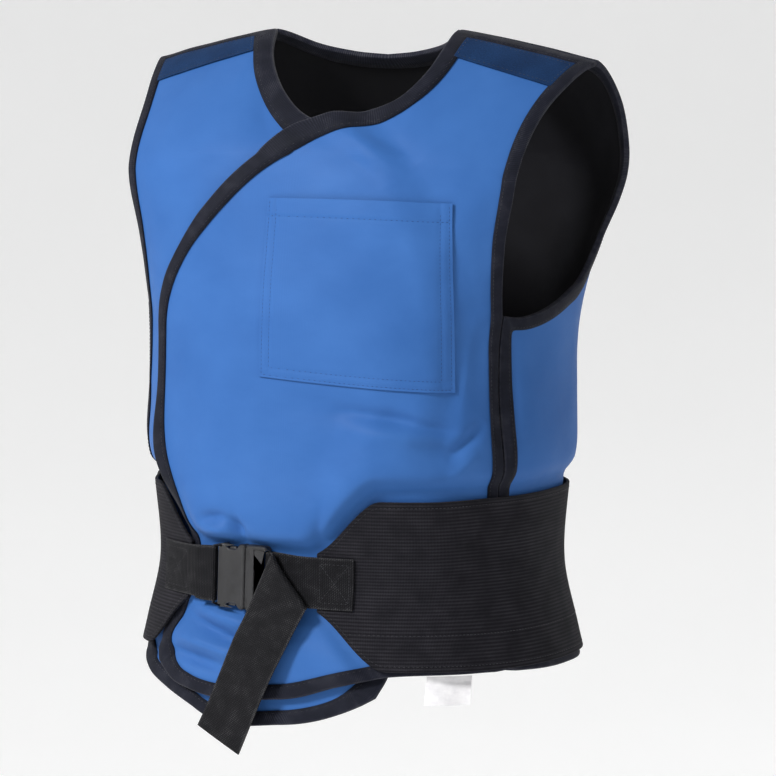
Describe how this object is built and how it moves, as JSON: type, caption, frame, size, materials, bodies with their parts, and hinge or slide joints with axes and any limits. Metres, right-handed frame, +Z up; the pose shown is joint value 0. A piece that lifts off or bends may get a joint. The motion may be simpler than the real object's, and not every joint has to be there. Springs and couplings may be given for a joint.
{
  "type": "lead x-ray vest",
  "caption": "Sleeveless wrap-front radiation protection vest with bound edges, shoulder yokes, a chest pocket and a lumbar belt closed by a buckle, in its worn form.",
  "frame": {"origin": "middle of the neck opening, level with the middle of the shoulder lines, where the vest lies on the wearer's shoulders", "axes": "+Z up, the front faces -Y, +X to the wearer's left"},
  "size_m": [0.4918, 0.3154, 0.6542],
  "materials": {
    "cover": "blue coated nylon over lead sheet, soft satin sheen",
    "binding": "near-black woven binding tape",
    "yoke": "navy napped fabric",
    "belt": "black ribbed elastic",
    "webbing": "black woven webbing",
    "plastic": "black moulded plastic",
    "label": "blank white woven label"
  },
  "bodies": {
    "root": {"left_front_panel": "cover", "left_front_binding": "binding", "right_front_panel": "cover", "right_front_binding": "binding", "back_panel": "cover", "back_binding": "binding", "left_yoke": "yoke", "right_yoke": "yoke", "chest_pocket": "cover", "lumbar_belt": "belt", "fixed_webbing": "webbing", "long_strap": "webbing", "hem_label": "label", "buckle_socket": "plastic", "buckle_clip": "plastic"}
  },
  "joints": []
}
